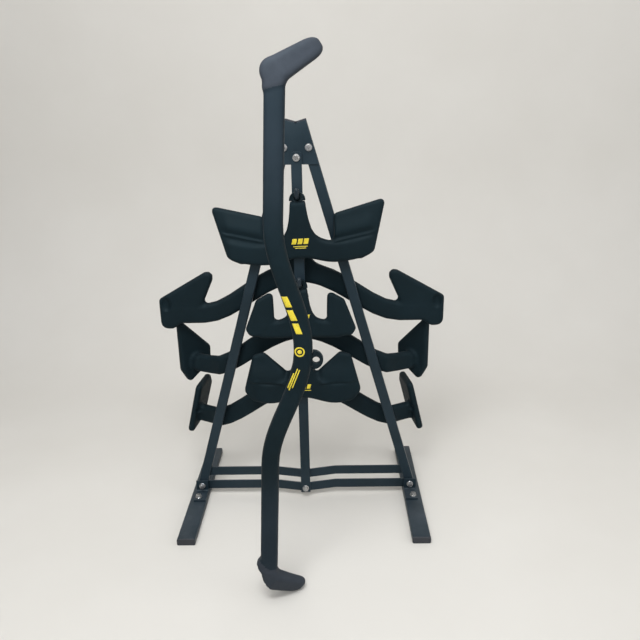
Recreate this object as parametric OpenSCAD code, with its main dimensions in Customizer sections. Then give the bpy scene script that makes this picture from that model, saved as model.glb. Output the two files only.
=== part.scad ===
// A-frame floor rack with seven moulded pull-down grips for a cable machine
// Millimetres, +Z up, the rack faces -Y and the long grip stands on the floor in front of it

/* [Frame] */
// Height of the point where the two legs meet
rack_h = 983; // [700:1:1300]
// Distance between the centre lines of the two feet
track = 578; // [420:1:760]
// Side of the square leg tube
leg_w = 25; // [20:0.5:40]
// Wall of the leg tube
leg_wall = 2; // [1.2:0.1:4]
// Corner radius of the leg tube
leg_round = 3; // [2.2:0.1:5]
// Gap between the two legs at the top
leg_gap = 0.6; // [0.4:0.1:6]
// Width of a foot tube
foot_w = 45; // [36:0.5:70]
// Height of a foot tube
foot_h = 18; // [16:0.5:40]
// Length of a foot with its end plugs
foot_len = 440; // [320:1:600]
// Wall of the foot tube
foot_wall = 2; // [1.2:0.1:3]
// Corner radius of the foot tube
foot_round = 4; // [3.2:0.1:7]
// Thickness of the flange of an end plug or leg cap
plug_t = 3; // [2:0.5:6]
// Length of the plug inside its tube
plug_in = 16; // [8:1:30]
// Clearance of plugs and shanks in their holes, each side
slip = 0.1; // [0.05:0.01:0.3]

/* [Gusset and post] */
// Thickness of the gusset plate
gus_t = 4; // [3:0.5:8]
// Lower edge of the gusset plate below the meeting point of the legs
gus_low = 92; // [80:1:150]
// Bottom of the notch in the plate's upper edge, below the meeting point of the legs
gus_high = 1; // [0:0.5:40]
// Margin between the plate's edge and the outer faces of the legs
gus_inset = 2; // [1:0.5:6]
// Height of the two leg bolts above the lower edge of the plate
gus_bolt_up = 38; // [26:1:46]
// Height of the middle bolt above the lower edge of the plate
gus_mid_up = 16; // [13:1:22]
// Width of the flat upright post
post_w = 25; // [22:0.5:50]
// Thickness of the flat upright post
post_t = 8; // [5:0.5:12]
// Height of the lower end of the post above the floor
post_low = 19; // [8:1:20]
// Length of post above its top bolt
post_over = 13; // [10:1:20]
// Height of a cross-bar strip
bar_h = 25; // [15:1:28]
// Thickness of a cross-bar strip
bar_t = 4; // [3:0.5:6]
// Height of the lower strip's middle above the floor
bar_low = 31.5; // [31:0.5:60]
// Distance between the two strips
bar_pitch = 42; // [34:1:120]
// Half length of the forward bend in a strip
bar_bend = 81; // [50:1:120]

/* [Foot brackets] */
// Thickness of the angle bracket
brk_t = 4; // [3:0.5:6]
// Width of the angle bracket
brk_w = 32; // [26:1:44]
// Height of the flange on the leg
brk_h = 34; // [30:1:50]
// Length of the flange on the foot
brk_l = 50; // [46:1:70]
// Height of the leg bolt above the foot
brk_bolt_up = 19; // [17:0.5:22]
// Distance of the foot bolt in front of the leg
brk_bolt_out = 34; // [30:0.5:37]

/* [Hooks] */
// Diameter of a hook rod
hook_d = 11; // [8:0.5:13]
// Bend radius of a hook, on the rod's axis
hook_r = 9; // [7:0.5:16]
// Length of the straight end above the bend
hook_up = 8; // [4:0.5:20]
// Clear rod between the lug and the bend
hook_over = 6; // [4:0.5:15]
// Drop of the top front hook below the meeting point of the legs
front_d1 = 163; // [150:1:180]
// Clearance of the middle front hook below the underside of the top grip
front_c2 = 66; // [56:1:80]
// Clearance of the low front hook below the underside of the middle grip
front_c3 = 20; // [18:1:40]
// Drop of the top back hook below the meeting point of the legs
back_d1 = 266; // [250:1:270]
// Clearance of the middle back hook below the neck of the top medium grip
back_c2 = 32; // [28:1:40]
// Clearance of the low back hook below the neck of the middle medium grip
back_c3 = 31; // [28:1:40]

/* [Steel eyes] */
// Width of the rounded eye
eye_w = 38; // [34:0.5:46]
// Thickness of the eye plate
eye_t = 10; // [6:0.5:14]
// Diameter of the eye's hole
eye_hole = 14; // [13.6:0.1:16]
// Height of the hole above the middle of the eye's round
eye_up = 5.5; // [4:0.1:7]
// Height of the round's middle above the cover
eye_seat = 1.5; // [0.5:0.1:5]
// Width of the shank inside the cover
shank_w = 24; // [16:0.5:28]
// Depth of the shank inside the cover
shank_l = 55; // [25:1:60]
// Free gap between rod and hole at the top
hang_gap = 0.3; // [0.2:0.05:1]

/* [Moulded covers] */
// Thickness of the moulding, front to back
arm_t = 24; // [18:0.5:30]
// Edge radius of the moulding
edge_r = 9; // [5:0.5:9]
// Width of the neck under the eye
neck_w = 35; // [32:0.5:44]
// Length over which the neck flares into the arms
neck_flare = 8; // [4:0.5:16]
// Gap between a cover and the steel behind or in front of it
wall_gap = 0.5; // [0.3:0.1:3]
// Rounding of the arm ends
end_r = 20; // [8:0.5:26]
// Rounding along the edges of the handle plates
plate_edge = 7; // [4:0.5:8]
// Thickness of the handle plates of the close grips
plate_t = 18; // [14:0.5:24]
// Backward lean of the handle plates of the close grips, in degrees
plate_lean = 5; // [0:0.5:10]

/* [Medium grips] */
// Hook axis above the middle of the underside
med_neck = 118; // [112:1:126]
// Depth of the arm
med_arm_h = 50; // [40:1:58]
// Fall of the arm from hub to lowest point
med_drop = 104; // [60:1:125]
// Half span at the arm's lowest point
med_low = 252; // [235:1:275]
// Half length of the upper grip's arms
med_end_1 = 334; // [320:1:350]
// Half length of the middle grip's arms
med_end_2 = 296; // [290:1:302]
// Half length of the lower grip's arms
med_end_3 = 306; // [295:1:320]
// Length over which the arm ends sweep back
sweep_len = 90; // [70:1:110]
// Thickness of the pads on the high grip
pad_t = 22; // [16:0.5:26]
// Thickness of the fins on the middle grip
fin_t = 20; // [15:0.5:24]
// Reach of the fins beyond the arm ends
fin_out = 33; // [28:1:38]
// Set-back of the fins' outer edges from the hub
fin_back = 25; // [22:1:30]
// Turn of the fins about the upright, in degrees
fin_turn = 40; // [30:1:50]
// Thickness of the upright strips on the low grip
strip_t = 18; // [15:0.5:22]
// Reach of the strips' front edges beyond the arm ends
strip_out = 8; // [4:1:10]
// Turn of the strips from square to the arms, in degrees
strip_turn = 10; // [6:1:14]
// Inward lean of the upright strips, in degrees
strip_lean = 13; // [10:0.5:16]
// Diameter of the boss on the upright strips
boss_d = 24; // [16:1:28]
// Height of the boss above the arm's underside
boss_up = 42; // [30:1:50]
// Backward sweep of the middle grip's arm ends
med_sweep_2 = 36; // [32:1:42]
// Backward sweep of the lower grip's arm ends
med_sweep_3 = 40; // [34:1:48]

/* [Close grips] */
// Tilt of the top grip as it hangs, in degrees
top_tilt = 2; // [0:0.5:4]
// Hook axis above the underside, top grip
top_neck = 144; // [138:1:152]
// Depth of the arm, top grip
top_arm_h = 52; // [44:1:60]
// Fall of the arm, top grip
top_drop = 14; // [4:1:26]
// Half span at the arm's lowest point, top grip
top_low = 82; // [70:1:110]
// Half length of the arms, top grip
top_end = 176; // [165:1:185]
// Rise of the underside towards the arm's end, top grip
top_rise = 18; // [0:1:24]
// Hook axis above the underside, middle grip
mid_neck = 134; // [128:1:140]
// Depth of the arm, middle grip
mid_arm_h = 46; // [38:1:52]
// Fall of the arm, middle grip
mid_drop = 2; // [0:0.5:10]
// Half span at the arm's lowest point, middle grip
mid_low = 60; // [50:1:80]
// Half length of the arms, middle grip
mid_end = 112; // [104:1:122]
// Hook axis above the underside, lower grip
bot_neck = 145; // [140:1:155]
// Depth of the arm, lower grip
bot_arm_h = 58; // [48:1:64]
// Fall of the arm, lower grip
bot_drop = 16; // [4:1:26]
// Half span at the arm's lowest point, lower grip
bot_low = 84; // [74:1:100]
// Half length of the arms, lower grip
bot_end = 132; // [122:1:142]
// Rise of the underside towards the arm's end, lower grip
bot_rise = 14; // [0:1:20]

/* [Long grip] */
// Distance of the standing grip in front of the legs
wide_gap = 402; // [250:1:500]
// Sideways place of the grip's middle
wide_x = -40; // [-120:1:120]
// Lean of the grip to the side, degrees
wide_lean = 3; // [0:0.1:6]
// Half length of the bar, to the corner of its handles
wide_half = 506; // [420:1:560]
// Width of the bar
wide_w = 36; // [32:0.5:40]
// Thickness of the bar
wide_t = 30; // [24:0.5:36]
// Sideways bow of the middle
wide_bow = 60; // [20:1:80]
// Half length of the bowed part
wide_bend = 245; // [200:1:320]
// Height of the bow's peak above the middle of the bar
wide_bow_up = 14; // [-20:1:20]
// Turn from the bar into a handle, degrees
wide_turn = 55; // [30:1:80]
// Radius of that turn, on the bar's axis
wide_turn_r = 22; // [21:0.5:40]
// Length of a handle after the turn
wide_hand = 79; // [60:1:130]
// Extra fullness on the outside of that turn
wide_corner = 7; // [0:0.5:12]
// Extra fullness on the outside of a handle's root
wide_full = 4; // [0:0.5:6]
// Length of a handle's sleeve before the turn
wide_sleeve = 9; // [8:0.5:14]
// Slope of the sleeve's edge across the bar
wide_slant = 0.3; // [0:0.05:0.35]
// Length of the shoulder where the sleeve starts
wide_step = 2; // [1:0.5:4]
// Width of a handle at its root
wide_root_w = 41; // [34:0.5:42]
// Width of a handle near its tip
wide_tip_w = 33; // [22:0.5:38]
// Thickness of a handle at its root
wide_root_t = 34; // [28:0.5:40]
// Thickness of a handle near its tip
wide_tip_t = 26; // [20:0.5:34]
// Backward sweep of a handle's tip
wide_back = 38; // [0:1:50]
// Rubber left behind the shank of the eye
wide_wall = 6; // [4:0.5:10]

/* [Fasteners] */
// Bolt diameter
bolt_d = 8; // [6:0.5:8]
// Width of a hexagon across its corners
hex_w = 15; // [13:0.1:15]
// Height of a bolt head
head_h = 5.3; // [4:0.1:7]
// Height of a nut
nut_h = 6.5; // [5:0.1:7]
// Thread standing out of a nut
thread_out = 2; // [1:0.5:3]
// Diameter of a washer
wash_d = 17; // [16:0.5:22]
// Thickness of a washer
wash_t = 1.6; // [1:0.1:3]
// Clearance round a bolt in its hole
bolt_slip = 0.25; // [0.15:0.05:0.6]

/* [Hidden] */
$fn = 48;
big = 3000;
steel = [0.10, 0.11, 0.13];
zinc = [0.72, 0.73, 0.75];
rubber = [0.06, 0.065, 0.08];
plastic = [0.05, 0.05, 0.06];

// legs: angle and length that bring the inner top corners together
foot_x = track / 2;
leg_a = foot_x - leg_gap / 2;
leg_b = rack_h - foot_h;
lean = acos(leg_w / 2 / norm([leg_a, leg_b])) - atan2(leg_b, leg_a);
leg_len = (leg_b + leg_w / 2 * sin(lean)) / cos(lean);
leg_front = leg_w / 2;
plate_front = leg_front + gus_t;
post_front = plate_front + post_t;
function leg_x(z) = foot_x - (z - foot_h) * tan(lean);
function leg_half() = leg_w / 2 / cos(lean);
gus_z0 = rack_h - gus_low;
gus_z1 = rack_h - gus_high;
gus_bolt_z = gus_z0 + gus_bolt_up;
gus_mid_z = gus_z0 + gus_mid_up;
post_top = gus_mid_z + post_over;
brk_z = foot_h + brk_bolt_up;
brk_y = -leg_front - brk_bolt_out;
hole_r = bolt_d / 2 + bolt_slip;

// hook heights, and hanging planes of the lugs in front of the post and behind the legs
front_z1 = rack_h - front_d1;
front_z2 = front_z1 - top_neck - front_c2;
front_z3 = front_z2 - mid_neck - front_c3;
back_z1 = rack_h - back_d1;
back_z2 = back_z1 - med_neck - back_c2;
back_z3 = back_z2 - med_neck - back_c3;
front_y = -post_front - wall_gap - arm_t / 2;
back_y = leg_front + wall_gap + arm_t / 2;
front_reach = -front_y + eye_t / 2 + hook_over;
back_reach = back_y + eye_t / 2 + hook_over;
eye_rod_up = eye_up + eye_hole / 2 - hang_gap - hook_d / 2;
cover_top = eye_rod_up + eye_seat;

// handle plates: outline corners outwards and upwards from the arm's end, each with its radius
top_plate = [[-36, -15, 12], [-1, 3, 16], [30, 129, 9], [-94, 97, 10], [-96, 30, 9]];
mid_plate = [[-14, 6, 14], [14, 6, 14], [25, 24, 10], [-4, 98, 10], [-46, 122, 10], [-48, 46, 12]];
bot_plate = [[-96, -8, 14], [-6, -10, 24], [18, 20, 20], [-8, 116, 12], [-36, 124, 10], [-102, 64, 12]];
high_pad = [[27, -13, 17], [27, 65, 9], [-131, 155, 14.5], [-76, 33, 10], [-4, -14, 10]];
swept_fin = [[-22, -33, 10], [0, 8, 20], [0, 158, 10], [-92, 58, 14], [-90, 14, 14]];
upright_strip = [[14, -26, 9], [108, -10, 14], [122, 94, 14], [96, 124, 14], [20, 114, 14]];

// the long grip stands on the lowest point of its lower handle
wide_tangent = wide_turn_r * tan(wide_turn / 2);
wide_straight = wide_half - wide_tangent;
wide_rings = concat([sleeve_ring(wide_straight - wide_sleeve)],
    [for (k = [0:6]) turn_ring(wide_turn * k / 6)],
    [for (k = [0.3, 0.6]) hand_ring(k * (wide_hand - end_r))],
    [for (a = [0:22.5:90]) hand_ring(wide_hand - end_r * (1 - sin(a)))]);
wide_z = max([for (r = wide_rings) for (p = r) p[0] * sin(wide_lean) + p[2] * cos(wide_lean)]);
wide_front = wide_gap + max([for (r = wide_rings) for (p = r) -p[1]]);
rack_y = (wide_front - foot_len / 2) / 2;

function unit(v) = v / norm(v);
function mix(a, b, t) = a + (b - a) * t;
function ease(t) = t <= 0 ? 0 : t >= 1 ? 1 : t * t * (3 - 2 * t);

// closed outline of twelve points: a rectangle with rounded corners
function round_box(a, b, r) = [for (k = [0:3]) for (s = [0, 45, 90])
    [(k == 0 || k == 3 ? 1 : -1) * (a - r) + r * cos(90 * k + s),
     (k < 2 ? 1 : -1) * (b - r) + r * sin(90 * k + s)]];

// a solid lofted through rings of points
module skin(rings) {
    m = len(rings[0]);
    n = len(rings);
    polyhedron(points = [for (r = rings) each r], convexity = 8, faces = concat(
        [for (i = [0:n - 2]) for (j = [0:m - 1]) each [
            [i * m + j, (i + 1) * m + j, i * m + (j + 1) % m],
            [i * m + (j + 1) % m, (i + 1) * m + j, (i + 1) * m + (j + 1) % m]]],
        [[for (j = [0:m - 1]) j]],
        [[for (j = [m - 1:-1:0]) (n - 1) * m + j]]));
}

// points along an outline with rounded corners, moved inwards by cut
function rim(c, cut) = [for (i = [0:len(c) - 1]) let(
    b = [c[i][0], c[i][1]],
    a = [c[(i + len(c) - 1) % len(c)][0], c[(i + len(c) - 1) % len(c)][1]],
    d = [c[(i + 1) % len(c)][0], c[(i + 1) % len(c)][1]],
    u = unit(b - a),
    v = unit(d - b),
    o = b + unit(v - u) * c[i][2] / sin(acos(-(u * v)) / 2),
    a0 = atan2(-u[0], u[1]),
    a1 = atan2(-v[0], v[1]),
    turn = a1 < a0 ? a1 - a0 + 360 : a1 - a0)
    each [for (k = [0:3]) o + (c[i][2] - cut) * [cos(a0 + turn * k / 3), sin(a0 + turn * k / 3)]]];

// a plate with round edges between its two flat faces
module plate(c, t) {
    flat = t / 2 - plate_edge;
    skin([for (side = [-1, 1]) for (a = side < 0 ? [-90, -45, 0] : [0, 45, 90])
        [for (p = rim(c, plate_edge * (1 - cos(a)))) [p[0], p[1], side * flat + plate_edge * sin(a)]]]);
}

// a plate that stands up and leans back
module upright_plate(c, t, lean_back) {
    rotate([90 - lean_back, 0, 0])
        plate(c, t);
}

// underside and depth of an arm that falls from the hub in a smooth curve
function under(x, drop, low) = -drop * (1 - cos(180 * min(x, low) / low)) / 2;
function rising(x, rise, low, end) = rise * pow(max(0, x - low) / (end - low), 2);
function incline(x, drop, low) = atan(drop * PI / 2 / low * sin(180 * min(x, low) / low));
function depth(x, drop, low, h, neck) = h / cos(incline(x, drop, low))
    + (neck - h) * exp(-max(0, x - neck_w / 2) / neck_flare);

// one arm station: ring in the plane across x
function arm_ring(x, drop, low, h, neck, end, sweep, rise) = let(
    a = abs(x),
    near = (end - a) / end_r,
    s = near >= 1 ? 1 : sqrt(max(0, 1 - pow(1 - near, 2))),
    k = mix(0.35, 1, s),
    d = depth(a, drop, low, h, neck),
    z0 = under(a, drop, low) + rising(a, rise, low, end),
    y0 = sweep * ease((a - end + sweep_len) / (sweep_len - end_r)),
    q = round_box(arm_t / 2 * k, d / 2 * k, edge_r * k))
    [for (p = q) [x, y0 + p[0], z0 + d / 2 + p[1]]];

// two arms and the neck in one loft
module arms(drop, low, h, neck, end, sweep, rise) {
    flare0 = neck_w / 2;
    flare1 = flare0 + 4 * neck_flare;
    half = concat([flare0 - edge_r * 0.5, flare0, flare0 + neck_flare * 0.35, flare0 + neck_flare * 0.8,
        flare0 + neck_flare * 1.5, flare0 + neck_flare * 2.5],
        [for (k = [0:8]) mix(flare1, end - end_r, k / 8)],
        [for (a = [22.5:22.5:90]) end - end_r * (1 - sin(a))]);
    n = len(half);
    skin(concat([for (k = [n - 1:-1:0]) arm_ring(-half[k], drop, low, h, neck, end, sweep, rise)],
        [for (k = [0:n - 1]) arm_ring(half[k], drop, low, h, neck, end, sweep, rise)]));
}

// steel eye, its hook axis at the origin
module eye_plate() {
    translate([0, 0, -eye_rod_up])
        rotate([90, 0, 0])
            difference() {
                union() {
                    intersection() {
                        cylinder(d = eye_w, h = eye_t, center = true, $fn = 64);
                        translate([-eye_w, -eye_seat, -eye_t])
                            cube([2 * eye_w, 2 * eye_w, 2 * eye_t]);
                    }
                    translate([-shank_w / 2, -eye_seat - shank_l, -eye_t / 2])
                        cube([shank_w, shank_l + eye_seat / 2, eye_t]);
                }
                translate([0, eye_up, 0])
                    cylinder(d = eye_hole, h = 2 * eye_t, center = true);
            }
}

// pocket for the shank, its hook axis at the origin
module eye_pocket() {
    translate([-shank_w / 2 - slip, -eye_t / 2 - slip, -cover_top - shank_l - slip])
        cube([shank_w + 2 * slip, eye_t + 2 * slip, shank_l + slip + 1]);
}

// moulded cover of a hung grip, its hook axis at the origin, with a handle on both arm ends
module hung_cover(neck, h, drop, low, end, sweep, rise) {
    difference() {
        translate([0, 0, -neck])
            union() {
                arms(drop, low, h, neck - cover_top, end, sweep, rise);
                for (m = [0, 1])
                    mirror([m, 0, 0])
                        translate([end, 0, under(end, drop, low) + rise])
                            children();
            }
        eye_pocket();
    }
}

module at_front(z) {
    translate([0, rack_y + front_y, z])
        children();
}

module at_back(z) {
    translate([0, rack_y + back_y, z])
        children();
}

// square tube outline with round corners
module tube_round(w, h, r) {
    square([w - 2 * r, h], center = true);
    square([w, h - 2 * r], center = true);
    for (x = [-1, 1], y = [-1, 1])
        translate([x * (w / 2 - r), y * (h / 2 - r)])
            circle(r = r);
}

module tube_outline(w, h, r, wall) {
    difference() {
        tube_round(w, h, r);
        tube_round(w - 2 * wall, h - 2 * wall, r - wall);
    }
}

module foot(side) {
    tube_len = foot_len - 2 * plug_t;
    color(steel)
        difference() {
            translate([side * foot_x, rack_y + tube_len / 2, foot_h / 2])
                rotate([90, 0, 0])
                    linear_extrude(tube_len)
                        tube_outline(foot_w, foot_h, foot_round, foot_wall);
            translate([side * foot_x, rack_y + brk_y, foot_h / 2])
                cylinder(r = hole_r, h = foot_h);
        }
}

module left_foot() {
    foot(-1);
}

module right_foot() {
    foot(1);
}

// end plugs: a flange on the tube's end and a block inside
module foot_plugs() {
    color(plastic)
        for (side = [-1, 1], end = [-1, 1])
            translate([side * foot_x, rack_y + end * (foot_len / 2 - plug_t), foot_h / 2])
                rotate([-90 * end, 0, 0]) {
                    linear_extrude(plug_t)
                        tube_round(foot_w, foot_h, foot_round);
                    translate([0, 0, -plug_in])
                        linear_extrude(plug_in + plug_t / 2)
                            tube_round(foot_w - 2 * foot_wall - 2 * slip, foot_h - 2 * foot_wall - 2 * slip,
                                foot_round - foot_wall);
                }
}

// places a child along the right leg's axis, from the top of the foot upwards
module on_leg() {
    translate([foot_x, rack_y, foot_h])
        rotate([0, -lean, 0])
            children();
}

module leg() {
    color(steel)
        difference() {
            on_leg()
                translate([0, 0, -leg_w])
                    linear_extrude(leg_len + leg_w)
                        tube_outline(leg_w, leg_w, leg_round, leg_wall);
            translate([-big / 2, -big / 2, foot_h - big])
                cube([big, big, big]);
            translate([leg_x(gus_bolt_z), rack_y, gus_bolt_z])
                rotate([90, 0, 0])
                    cylinder(r = hole_r, h = 2 * leg_w, center = true);
            translate([leg_x(brk_z), rack_y, brk_z])
                rotate([90, 0, 0])
                    cylinder(r = hole_r, h = 2 * leg_w, center = true);
        }
}

module right_leg() {
    leg();
}

module left_leg() {
    mirror([1, 0, 0])
        leg();
}

// caps in the upper ends of the legs, trimmed where the two would meet
module leg_caps() {
    color(plastic)
        for (m = [0, 1])
            mirror([m, 0, 0])
                difference() {
                    on_leg()
                        translate([0, 0, leg_len]) {
                            linear_extrude(plug_t)
                                tube_round(leg_w, leg_w, leg_round);
                            translate([0, 0, -plug_in])
                                linear_extrude(plug_in + plug_t / 2)
                                    tube_round(leg_w - 2 * leg_wall - 2 * slip,
                                        leg_w - 2 * leg_wall - 2 * slip, leg_round - leg_wall);
                        }
                    translate([leg_gap / 2 - big, -big / 2, -big / 2])
                        cube([big, big, big]);
                }
}

// plate whose sides follow the legs and whose notched upper edge follows their cut ends
module gusset_plate() {
    low = leg_x(gus_z0) + leg_half() - gus_inset;
    high = leg_x(gus_z1) + leg_half() - gus_inset;
    crown = gus_z1 + high * tan(lean);
    color(steel)
        translate([0, rack_y - leg_front, 0])
            rotate([90, 0, 0])
                linear_extrude(gus_t)
                    difference() {
                        polygon([[-low, gus_z0], [low, gus_z0], [high, crown], [0, gus_z1], [-high, crown]]);
                        for (side = [-1, 1])
                            translate([side * leg_x(gus_bolt_z), gus_bolt_z])
                                circle(r = hole_r);
                        translate([0, gus_mid_z])
                            circle(r = hole_r);
                    }
}

// flat bar with rounded ends, drilled for its bolts and for the hook rods
module center_post() {
    color(steel)
        translate([0, rack_y - plate_front, 0])
            rotate([90, 0, 0])
                linear_extrude(post_t)
                    difference() {
                        union() {
                            translate([-post_w / 2, post_low])
                                square([post_w, post_top - post_low - post_w / 4]);
                            translate([-post_w / 4, post_low])
                                square([post_w / 2, post_top - post_low]);
                            for (side = [-1, 1])
                                translate([side * post_w / 4, post_top - post_w / 4])
                                    circle(r = post_w / 4);
                        }
                        for (z = [bar_low, gus_mid_z])
                            translate([0, z])
                                circle(r = hole_r);
                        for (z = [front_z1, front_z2, front_z3, back_z1, back_z2, back_z3])
                            translate([0, z])
                                circle(d = hook_d);
                    }
}

// strip between the legs that bends forward to the post
module cross_bar(z) {
    end = leg_x(z) + leg_half() / 4;
    y0 = bar_t / 2;
    mid = post_w / 2;
    fwd = plate_front;
    color(steel)
        difference() {
            translate([0, rack_y, z - bar_h / 2])
                linear_extrude(bar_h)
                    polygon([[-end, -y0], [-bar_bend, -y0], [-mid, -fwd], [mid, -fwd], [bar_bend, -y0],
                        [end, -y0], [end, y0], [bar_bend, y0], [mid, bar_t - fwd], [-mid, bar_t - fwd],
                        [-bar_bend, y0], [-end, y0]]);
            for (m = [0, 1])
                mirror([m, 0, 0])
                    on_leg()
                        translate([-leg_w / 2, -leg_w / 2, -leg_w])
                            cube([2 * leg_w, leg_w, leg_len]);
            translate([0, rack_y, bar_low])
                rotate([90, 0, 0])
                    cylinder(r = hole_r, h = 2 * plate_front);
        }
}

module lower_cross_bar() {
    cross_bar(bar_low);
}

module upper_cross_bar() {
    cross_bar(bar_low + bar_pitch);
}

// angle bracket: one flange bolted to the leg, the other to the foot
module foot_bracket(side) {
    r = brk_t;
    color(steel)
        difference() {
            translate([side * leg_x(brk_z) - brk_w / 2, rack_y - leg_front, foot_h])
                rotate([90, 0, 90])
                    linear_extrude(brk_w)
                        difference() {
                            union() {
                                translate([-brk_t, r])
                                    square([brk_t, brk_h - r]);
                                translate([-brk_l, 0])
                                    square([brk_l - r, brk_t]);
                                difference() {
                                    translate([-2 * r, 0])
                                        square([2 * r, 2 * r]);
                                    translate([-2 * r, 2 * r])
                                        circle(r = r);
                                    difference() {
                                        translate([-r, 0])
                                            square([r, r]);
                                        translate([-r, r])
                                            circle(r = r);
                                    }
                                }
                            }
                        }
            translate([side * leg_x(brk_z), rack_y, brk_z])
                rotate([90, 0, 0])
                    cylinder(r = hole_r, h = 2 * leg_w);
            translate([side * foot_x, rack_y + brk_y, foot_h / 2])
                cylinder(r = hole_r, h = foot_h);
        }
}

module left_foot_bracket() {
    foot_bracket(-1);
}

module right_foot_bracket() {
    foot_bracket(1);
}

// rod that leaves the post towards +Y and turns up in a quarter bend
module hook_arm(from, to) {
    translate([0, from, 0])
        rotate([-90, 0, 0])
            cylinder(d = hook_d, h = to - from);
    translate([0, to, hook_r])
        rotate([0, 90, 0])
            rotate_extrude(angle = 90)
                translate([hook_r, 0])
                    circle(d = hook_d);
    translate([0, to + hook_r, hook_r])
        cylinder(d = hook_d, h = hook_up);
    translate([0, to + hook_r, hook_r + hook_up])
        sphere(d = hook_d);
}

// a hook through the post, turned up in front of it
module front_hook(z) {
    color(steel)
        translate([0, rack_y, z])
            mirror([0, 1, 0])
                hook_arm(plate_front, front_reach);
}

// a hook through the post, turned up behind the legs
module back_hook(z) {
    color(steel)
        translate([0, rack_y, z])
            hook_arm(-post_front, back_reach);
}

module front_hook_1() {
    front_hook(front_z1);
}

module front_hook_2() {
    front_hook(front_z2);
}

module front_hook_3() {
    front_hook(front_z3);
}

module back_hook_1() {
    back_hook(back_z1);
}

module back_hook_2() {
    back_hook(back_z2);
}

module back_hook_3() {
    back_hook(back_z3);
}

// bolt with its head's underside at the origin, head towards +Z
module hex_bolt(grip) {
    cylinder(d = hex_w, h = head_h, $fn = 6);
    translate([0, 0, -grip - nut_h - thread_out])
        cylinder(d = bolt_d, h = grip + nut_h + thread_out + head_h / 2);
}

// nut clamped at the far end of the grip length
module hex_nut(grip) {
    translate([0, 0, -grip - nut_h])
        difference() {
            cylinder(d = hex_w, h = nut_h, $fn = 6);
            translate([0, 0, -1])
                cylinder(d = bolt_d + 2 * slip, h = nut_h + 2);
        }
}

module flat_washer() {
    translate([0, 0, -wash_t])
        difference() {
            cylinder(d = wash_d, h = wash_t);
            translate([0, 0, -1])
                cylinder(r = hole_r, h = wash_t + 2);
        }
}

// places: the head faces the front, or upwards on the feet
module at_gusset() {
    for (side = [-1, 1])
        translate([side * leg_x(gus_bolt_z), rack_y - plate_front - wash_t, gus_bolt_z])
            rotate([90, 0, 0])
                children();
}

module at_post() {
    for (z = [bar_low, gus_mid_z])
        translate([0, rack_y - post_front - wash_t, z])
            rotate([90, 0, 0])
                children();
}

module at_leg() {
    for (side = [-1, 1])
        translate([side * leg_x(brk_z), rack_y - leg_front - brk_t - wash_t, brk_z])
            rotate([90, 0, 0])
                children();
}

module at_foot() {
    for (side = [-1, 1])
        translate([side * foot_x, rack_y + brk_y, foot_h + brk_t + wash_t])
            children();
}

module washers() {
    color(zinc) {
        at_gusset()
            flat_washer();
        at_post()
            flat_washer();
        at_leg()
            flat_washer();
        at_foot()
            flat_washer();
    }
}

module gusset_bolts() {
    color(zinc)
        at_gusset()
            hex_bolt(wash_t + gus_t + leg_w);
}

module gusset_nuts() {
    color(zinc)
        at_gusset()
            hex_nut(wash_t + gus_t + leg_w);
}

module post_bolts() {
    color(zinc)
        at_post()
            hex_bolt(wash_t + post_t + gus_t);
}

module post_nuts() {
    color(zinc)
        at_post()
            hex_nut(wash_t + post_t + gus_t);
}

module leg_bolts() {
    color(zinc)
        at_leg()
            hex_bolt(wash_t + brk_t + leg_w);
}

module leg_nuts() {
    color(zinc)
        at_leg()
            hex_nut(wash_t + brk_t + leg_w);
}

module foot_bolts() {
    color(zinc)
        at_foot()
            hex_bolt(wash_t + brk_t + foot_wall);
}

module foot_nuts() {
    color(zinc)
        at_foot()
            hex_nut(wash_t + brk_t + foot_wall);
}

module top_close_eye() {
    color(steel)
        at_front(front_z1)
            rotate([0, -top_tilt, 0])
                eye_plate();
}

module mid_close_eye() {
    color(steel)
        at_front(front_z2)
            eye_plate();
}

module low_close_eye() {
    color(steel)
        at_front(front_z3)
            eye_plate();
}

module high_medium_eye() {
    color(steel)
        at_back(back_z1)
            eye_plate();
}

module mid_medium_eye() {
    color(steel)
        at_back(back_z2)
            eye_plate();
}

module low_medium_eye() {
    color(steel)
        at_back(back_z3)
            eye_plate();
}

module top_close_cover() {
    color(rubber)
        at_front(front_z1)
            rotate([0, -top_tilt, 0])
                hung_cover(top_neck, top_arm_h, top_drop, top_low, top_end, 0, top_rise)
                    upright_plate(top_plate, plate_t, plate_lean);
}

module mid_close_cover() {
    color(rubber)
        at_front(front_z2)
            hung_cover(mid_neck, mid_arm_h, mid_drop, mid_low, mid_end, 0, 0)
                translate([0, -plate_t / 3, 0])
                    upright_plate(mid_plate, plate_t, plate_lean);
}

module low_close_cover() {
    color(rubber)
        at_front(front_z3)
            hung_cover(bot_neck, bot_arm_h, bot_drop, bot_low, bot_end, 0, bot_rise)
                upright_plate(bot_plate, plate_t, plate_lean);
}

module high_medium_cover() {
    color(rubber)
        at_back(back_z1)
            hung_cover(med_neck, med_arm_h, med_drop, med_low, med_end_1, 0, 0)
                upright_plate(high_pad, pad_t, 0);
}

// fins that run back and inwards from the arm ends
module mid_medium_cover() {
    color(rubber)
        at_back(back_z2)
            hung_cover(med_neck, med_arm_h, med_drop, med_low, med_end_2, med_sweep_2, 0)
                translate([fin_out, fin_back, 0])
                    rotate([0, 0, -fin_turn])
                        upright_plate(swept_fin, fin_t, 0);
}

// strips that stand across the arm ends, each with a round boss in front
module low_medium_cover() {
    color(rubber)
        at_back(back_z3)
            hung_cover(med_neck, med_arm_h, med_drop, med_low, med_end_3, med_sweep_3, 0)
                translate([strip_out, 0, 0])
                    rotate([0, -strip_lean, 0]) {
                        rotate([0, 0, 90 + strip_turn])
                            upright_plate(upright_strip, strip_t, 0);
                        translate([-strip_t / 2, upright_strip[0][0] + plate_edge, boss_up])
                            rotate([-90, 0, 0])
                                cylinder(d = boss_d, h = med_sweep_3, $fn = 24);
                    }
}

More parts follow.
